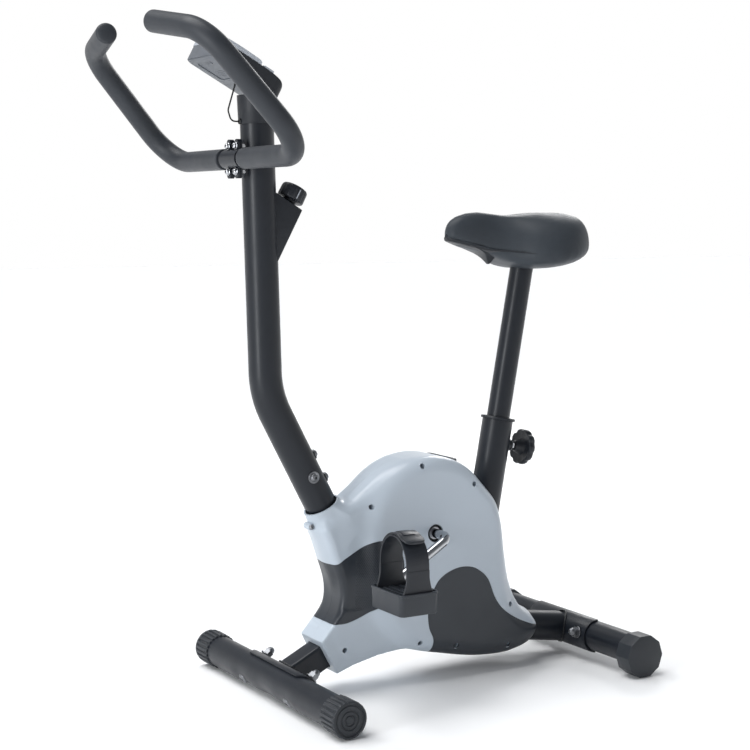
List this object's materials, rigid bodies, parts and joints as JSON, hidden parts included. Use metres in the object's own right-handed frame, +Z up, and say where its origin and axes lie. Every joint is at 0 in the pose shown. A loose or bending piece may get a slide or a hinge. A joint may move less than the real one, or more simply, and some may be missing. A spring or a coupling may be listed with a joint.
{
  "type": "exercise bike",
  "caption": "Upright stationary exercise bike with a moulded drive shroud, strapped pedals, padded saddle on a sliding post and a foam-covered U-shaped handlebar under a small console.",
  "frame": {"origin": "on the floor plane, under the middle of the machine's length and in its left-right middle plane", "axes": "+X towards the rider's left, +Y towards the back of the machine (the saddle end), +Z up"},
  "size_m": [0.4786, 0.8452, 1.0309],
  "materials": {
    "black_paint": "satin powder coat",
    "black_plastic": "satin, finely grained",
    "dark_plastic": "satin",
    "white_plastic": "glossy, slightly blue",
    "silver_plastic": "glossy silver paint",
    "grey_plastic": "satin",
    "lens_plastic": "clear smoked window",
    "red_plastic": "satin",
    "board": "lacquered",
    "cable_sheath": "matte",
    "belt_rubber": "matte",
    "chrome": "bright",
    "steel": "brushed",
    "iron": "machined rim",
    "foam": "soft closed-cell foam, matte",
    "vinyl": "smooth satin vinyl",
    "felt": "felt-lined band"
  },
  "bodies": {
    "frame": {"base_frame": "black_paint", "post_stub": "black_paint", "seat_tube": "black_paint", "bottom_bracket": "black_paint", "front_foot_tube": "black_paint", "rear_foot_tube": "black_paint", "front_end_cap_left": "black_plastic", "front_end_cap_right": "black_plastic", "front_foot_bolt_left": "chrome", "front_foot_bolt_right": "chrome", "rear_foot_bolt_left": "chrome", "rear_foot_bolt_right": "chrome", "front_post": "black_paint", "post_bolt_rear_upper": "chrome", "post_bolt_rear_lower": "chrome", "post_through_bolt": "chrome", "handlebar_clamp_cap": "black_paint", "clamp_bolt_upper": "chrome", "clamp_bolt_lower": "chrome", "console_bracket": "black_plastic", "console_back_shell": "grey_plastic", "console_housing": "black_plastic", "console_face": "silver_plastic", "console_lens": "lens_plastic", "console_circuit_board": "board", "console_lead": "cable_sheath", "tension_housing": "black_paint", "tension_cable": "cable_sheath", "seat_tube_bush": "black_plastic", "crank_bearing_left": "steel", "crank_bearing_right": "steel", "drive_belt": "belt_rubber", "brake_band": "felt", "brake_spring": "steel", "speed_sensor": "black_plastic", "shroud_left": "white_plastic", "shroud_right": "white_plastic", "front_panel_left": "dark_plastic", "front_panel_right": "dark_plastic", "rear_panel": "dark_plastic"},
    "levelling_cap_left": {"rear_levelling_cap_left": "black_plastic"},
    "levelling_cap_right": {"rear_levelling_cap_right": "black_plastic"},
    "handlebar": {"handlebar_tube": "black_paint", "handlebar_grip_left": "foam", "handlebar_grip_right": "foam"},
    "seat": {"seat_post": "black_paint", "saddle_mount": "steel", "saddle_base": "black_plastic", "saddle_cover": "vinyl"},
    "seat_pin": {"seat_knob": "black_plastic"},
    "tension_dial": {"tension_knob": "black_plastic"},
    "crankset": {"crank": "chrome", "drive_pulley": "black_plastic"},
    "pedal_left": {"pedal_body_left": "dark_plastic", "pedal_strap_left": "black_plastic"},
    "pedal_right": {"pedal_body_right": "dark_plastic", "pedal_strap_right": "black_plastic"},
    "flywheel": {"flywheel": "iron"},
    "console_key": {"console_button": "red_plastic"},
    "battery_door": {"console_battery_cover": "grey_plastic"}
  },
  "joints": [
    {"name": "levelling_cap_left_turn", "type": "hinge", "parent": "frame", "child": "levelling_cap_left", "pos_m": [0.185, 0.3895, 0.0395], "axis": [1, 0, 0], "continuous": true},
    {"name": "levelling_cap_right_turn", "type": "hinge", "parent": "frame", "child": "levelling_cap_right", "pos_m": [-0.185, 0.3895, 0.0395], "axis": [1, 0, 0], "continuous": true},
    {"name": "handlebar_tilt", "type": "hinge", "parent": "frame", "child": "handlebar", "pos_m": [0, -0.2405, 0.8316], "axis": [1, 0, 0], "range_deg": [-60, 25]},
    {"name": "seat_height", "type": "slide", "parent": "frame", "child": "seat", "axis": [0, 0.1805, 0.9836], "range_m": [-0.11, 0.1]},
    {"name": "seat_pin_pull", "type": "slide", "parent": "frame", "child": "seat_pin", "axis": [0, 0.9836, -0.1805], "range_m": [0, 0.012], "stiffness_N_per_m": 1000, "springref_m": -0.004},
    {"name": "tension_turn", "type": "hinge", "parent": "frame", "child": "tension_dial", "pos_m": [0, -0.1516, 0.767], "axis": [0, 0.4848, 0.8746], "range_deg": [-135, 135]},
    {"name": "crank_spin", "type": "hinge", "parent": "frame", "child": "crankset", "pos_m": [0, 0.0809, 0.243], "axis": [1, 0, 0], "continuous": true},
    {"name": "pedal_left_spin", "type": "hinge", "parent": "crankset", "child": "pedal_left", "pos_m": [0.104, -0.0416, 0.1755], "axis": [1, 0, 0], "continuous": true},
    {"name": "pedal_right_spin", "type": "hinge", "parent": "crankset", "child": "pedal_right", "pos_m": [-0.104, 0.2034, 0.3105], "axis": [1, 0, 0], "continuous": true},
    {"name": "flywheel_spin", "type": "hinge", "parent": "frame", "child": "flywheel", "pos_m": [0, 0.0979, 0.14], "axis": [1, 0, 0], "continuous": true},
    {"name": "console_button_press", "type": "slide", "parent": "frame", "child": "console_key", "axis": [0, -0.4772, -0.8788], "range_m": [0, 0.0015], "stiffness_N_per_m": 400, "springref_m": -0.001},
    {"name": "battery_cover_slide", "type": "slide", "parent": "frame", "child": "battery_door", "axis": [0, -0.4772, -0.8788], "range_m": [0, 0.03]}
  ],
  "couplings": [
    {"joint": "flywheel_spin", "follows": "crank_spin", "ratio": 3.6}
  ]
}
